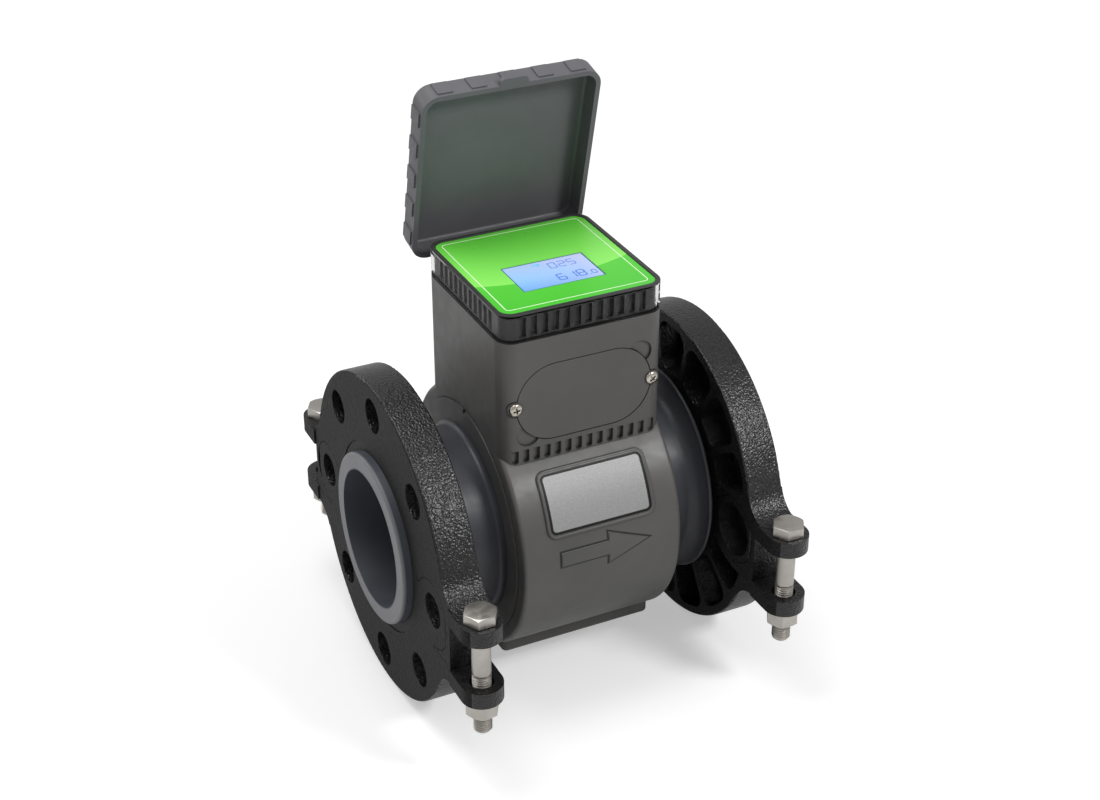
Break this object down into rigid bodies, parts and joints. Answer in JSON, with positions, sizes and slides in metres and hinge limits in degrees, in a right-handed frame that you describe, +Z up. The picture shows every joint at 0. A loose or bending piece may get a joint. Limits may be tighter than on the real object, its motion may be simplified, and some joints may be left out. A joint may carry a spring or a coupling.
{
  "type": "electromagnetic flow meter",
  "caption": "Pipe flow meter with a flanged measuring tube, round sensor housing, square display tower and a hinged lid.",
  "frame": {"origin": "middle of the measuring tube's bore", "axes": "+X along the pipe in the flow direction, -Y towards the front with the terminal cover, +Z up through the display tower"},
  "size_m": [0.25, 0.295, 0.3902],
  "materials": {
    "housing": "satin dark grey paint with a fine grain",
    "cell": "shrink-sleeved battery cell",
    "frame": "black moulded plastic",
    "board": "green circuit board",
    "soft_iron": "bare soft iron",
    "clear": "clear smoke-tinted plastic",
    "stainless": "turned stainless steel",
    "label": "bright green printed sheet with a white line",
    "copper": "enamelled copper winding",
    "gasket": "black rubber",
    "iron": "black coated casting, pebbled and half gloss",
    "display": "pale blue liquid crystal display",
    "lid_shell": "moulded dark grey plastic",
    "tube": "dark blue-grey liner polymer, lighter on the turned end faces",
    "plate": "bare brushed aluminium",
    "neck": "dark blue-grey moulded plastic, low sheen",
    "screw": "bright plated steel"
  },
  "bodies": {
    "meter": {"base_plate": "housing", "battery_cell_left": "cell", "battery_cell_right": "cell", "battery_tray": "frame", "bezel": "frame", "circuit_board": "board", "coil_core_lower": "soft_iron", "coil_core_upper": "soft_iron", "display_cover": "clear", "draw_bolt_left_front": "stainless", "draw_bolt_left_rear": "stainless", "draw_bolt_right_front": "stainless", "draw_bolt_right_rear": "stainless", "draw_nut_left_front": "stainless", "draw_nut_left_rear": "stainless", "draw_nut_right_front": "stainless", "draw_nut_right_rear": "stainless", "electrode_front": "stainless", "electrode_rear": "stainless", "end_cap_left": "housing", "end_cap_right": "housing", "face_label": "label", "field_coil_lower": "copper", "field_coil_upper": "copper", "flange_gasket_left": "gasket", "flange_gasket_right": "gasket", "flange_left_lower": "iron", "flange_left_upper": "iron", "flange_right_lower": "iron", "flange_right_upper": "iron", "ground_electrode": "stainless", "hinge_pin": "stainless", "lcd_module": "display", "magnet_yoke": "soft_iron", "measuring_tube": "tube", "nameplate": "plate", "neck_left": "neck", "neck_right": "neck", "register_frame": "frame", "register_seal": "gasket", "sensor_housing": "housing", "terminal_cover": "housing", "terminal_cover_screws": "screw", "terminal_cover_seal": "gasket"},
    "lid_leaf": {"lid": "lid_shell"}
  },
  "joints": [
    {"name": "lid_hinge", "type": "hinge", "parent": "meter", "child": "lid_leaf", "pos_m": [0, 0.062, 0.1525], "axis": [-1, 0, 0], "range_deg": [-76.4, 25]}
  ]
}
